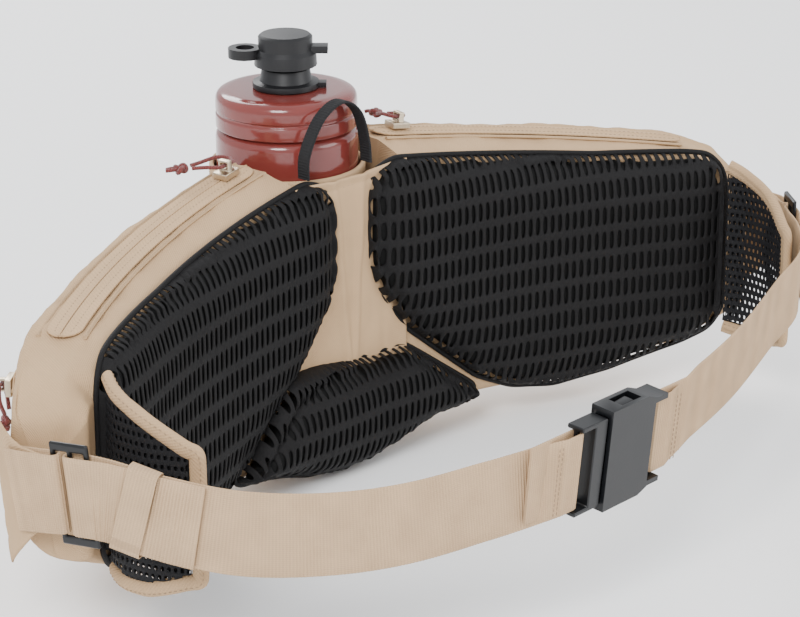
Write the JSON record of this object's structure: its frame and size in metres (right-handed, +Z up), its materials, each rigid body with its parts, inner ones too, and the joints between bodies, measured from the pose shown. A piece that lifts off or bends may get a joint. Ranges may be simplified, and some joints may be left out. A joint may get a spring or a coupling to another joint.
{
  "type": "waist pack",
  "caption": "Curved waist pack with zipped pockets either side of a bottle sleeve, mesh back pads, hip flaps and a webbing belt with a side-release buckle.",
  "frame": {"origin": "middle of the spine panel's top edge, where the pack meets the wearer's back", "axes": "+Z up, +Y away from the wearer, +X to the right as seen from the wearer's side"},
  "size_m": [0.5235, 0.3115, 0.2208],
  "materials": {
    "shell_fabric": "fine khaki ripstop",
    "spacer_mesh": "black three-dimensional spacer mesh",
    "flap_mesh": "black open mesh",
    "webbing": "khaki ribbed webbing",
    "zip_tape": "khaki woven zip tape",
    "slider_metal": "pale champagne metal",
    "pull_cord": "dark red braided cord",
    "buckle_plastic": "black moulded plastic with a slight sheen",
    "bottle_plastic": "translucent brick red",
    "valve_rubber": "black satin",
    "loop_webbing": "black webbing",
    "gasket_rubber": "clear silicone"
  },
  "bodies": {
    "bag": {"left_pocket": "shell_fabric", "right_pocket": "shell_fabric", "bottle_sleeve": "shell_fabric", "spine_panel": "shell_fabric", "left_pad": "spacer_mesh", "right_pad": "spacer_mesh", "lumbar_pad": "spacer_mesh", "left_zip_tape": "zip_tape", "right_zip_tape": "zip_tape", "front_zip_tape": "zip_tape", "left_hip_flap": "flap_mesh", "right_hip_flap": "flap_mesh", "left_flap_binding": "shell_fabric", "right_flap_binding": "shell_fabric", "left_anchor_panel": "shell_fabric", "right_anchor_panel": "shell_fabric", "left_anchor_web": "webbing", "right_anchor_web": "webbing", "left_triglide": "buckle_plastic", "right_triglide": "buckle_plastic", "left_strap": "webbing", "right_strap": "webbing", "buckle_female": "buckle_plastic"},
    "left_zip_pull": {"left_zip_slider": "slider_metal", "left_zip_cord": "pull_cord", "left_zip_knot": "pull_cord"},
    "right_zip_pull": {"right_zip_slider": "slider_metal", "right_zip_cord": "pull_cord", "right_zip_knot": "pull_cord"},
    "front_zip_pull": {"front_zip_slider": "slider_metal", "front_zip_cord": "pull_cord", "front_zip_knot": "pull_cord"},
    "buckle_male": {"buckle_male": "buckle_plastic"},
    "prong_upper": {"buckle_prong_upper": "buckle_plastic"},
    "prong_lower": {"buckle_prong_lower": "buckle_plastic"},
    "keeper": {"strap_keeper": "webbing"},
    "bottle": {"bottle_body": "bottle_plastic"},
    "lid_seal": {"bottle_gasket": "gasket_rubber"},
    "lid": {"bottle_lid": "bottle_plastic"},
    "valve": {"twist_valve": "valve_rubber", "bite_valve": "gasket_rubber"},
    "cap": {"mud_cap": "valve_rubber"},
    "grab_loop": {"grab_loop": "loop_webbing"}
  },
  "joints": [
    {"name": "left_zip_run", "type": "hinge", "parent": "bag", "child": "left_zip_pull", "pos_m": [0.01307, -0.39077, -0.007], "axis": [-0.1367, -0.0514, 0.9893], "range_deg": [0, 21]},
    {"name": "right_zip_run", "type": "hinge", "parent": "bag", "child": "right_zip_pull", "pos_m": [-0.01307, -0.39077, -0.007], "axis": [-0.1367, 0.0514, -0.9893], "range_deg": [0, 21]},
    {"name": "front_zip_run", "type": "hinge", "parent": "bag", "child": "front_zip_pull", "pos_m": [0, -0.303, -0.045], "axis": [0, 0, -1], "range_deg": [0, 23]},
    {"name": "buckle_release", "type": "slide", "parent": "bag", "child": "buckle_male", "axis": [-0.9987, -0.0511, 0.001], "range_m": [0, 0.036], "deforming": ["left_strap", "buckle_prong_upper", "buckle_prong_lower"]},
    {"name": "prong_upper_squeeze", "type": "hinge", "parent": "buckle_male", "child": "prong_upper", "pos_m": [-0.06098, -0.22404, -0.05806], "axis": [-0.0507, 0.9932, 0.1045], "range_deg": [0, 7], "stiffness_Nm_per_rad": 0.5},
    {"name": "prong_lower_squeeze", "type": "hinge", "parent": "buckle_male", "child": "prong_lower", "pos_m": [-0.06117, -0.22091, -0.0879], "axis": [-0.0507, 0.9932, 0.1045], "range_deg": [-7, 0], "stiffness_Nm_per_rad": 0.5},
    {"name": "keeper_slide", "type": "slide", "parent": "bag", "child": "keeper", "axis": [0.4231, -0.8702, -0.2523], "range_m": [-0.005, 0.007]},
    {"name": "bottle_lift", "type": "slide", "parent": "bag", "child": "bottle", "axis": [0, 0, 1], "range_m": [0, 0.15]},
    {"name": "lid_rise", "type": "slide", "parent": "bottle", "child": "lid_seal", "axis": [0, 0, 1], "range_m": [0, 0.006]},
    {"name": "lid_turn", "type": "hinge", "parent": "lid_seal", "child": "lid", "pos_m": [0, 0.0405, 0], "axis": [0, 0, 1], "range_deg": [0, 540]},
    {"name": "valve_twist", "type": "hinge", "parent": "lid", "child": "valve", "pos_m": [0, 0.0405, 0], "axis": [0, 0, 1], "range_deg": [0, 90]},
    {"name": "cap_pull", "type": "slide", "parent": "valve", "child": "cap", "axis": [0, 0, 1], "range_m": [0, 0.03]},
    {"name": "grab_loop_tilt", "type": "hinge", "parent": "bag", "child": "grab_loop", "pos_m": [0, -0.0012, 0], "axis": [1, 0, 0], "range_deg": [0, 30]}
  ],
  "couplings": [
    {"joint": "lid_rise", "follows": "lid_turn", "m_per_rad": 0.0006366},
    {"joint": "prong_lower_squeeze", "follows": "prong_upper_squeeze", "ratio": -1}
  ]
}
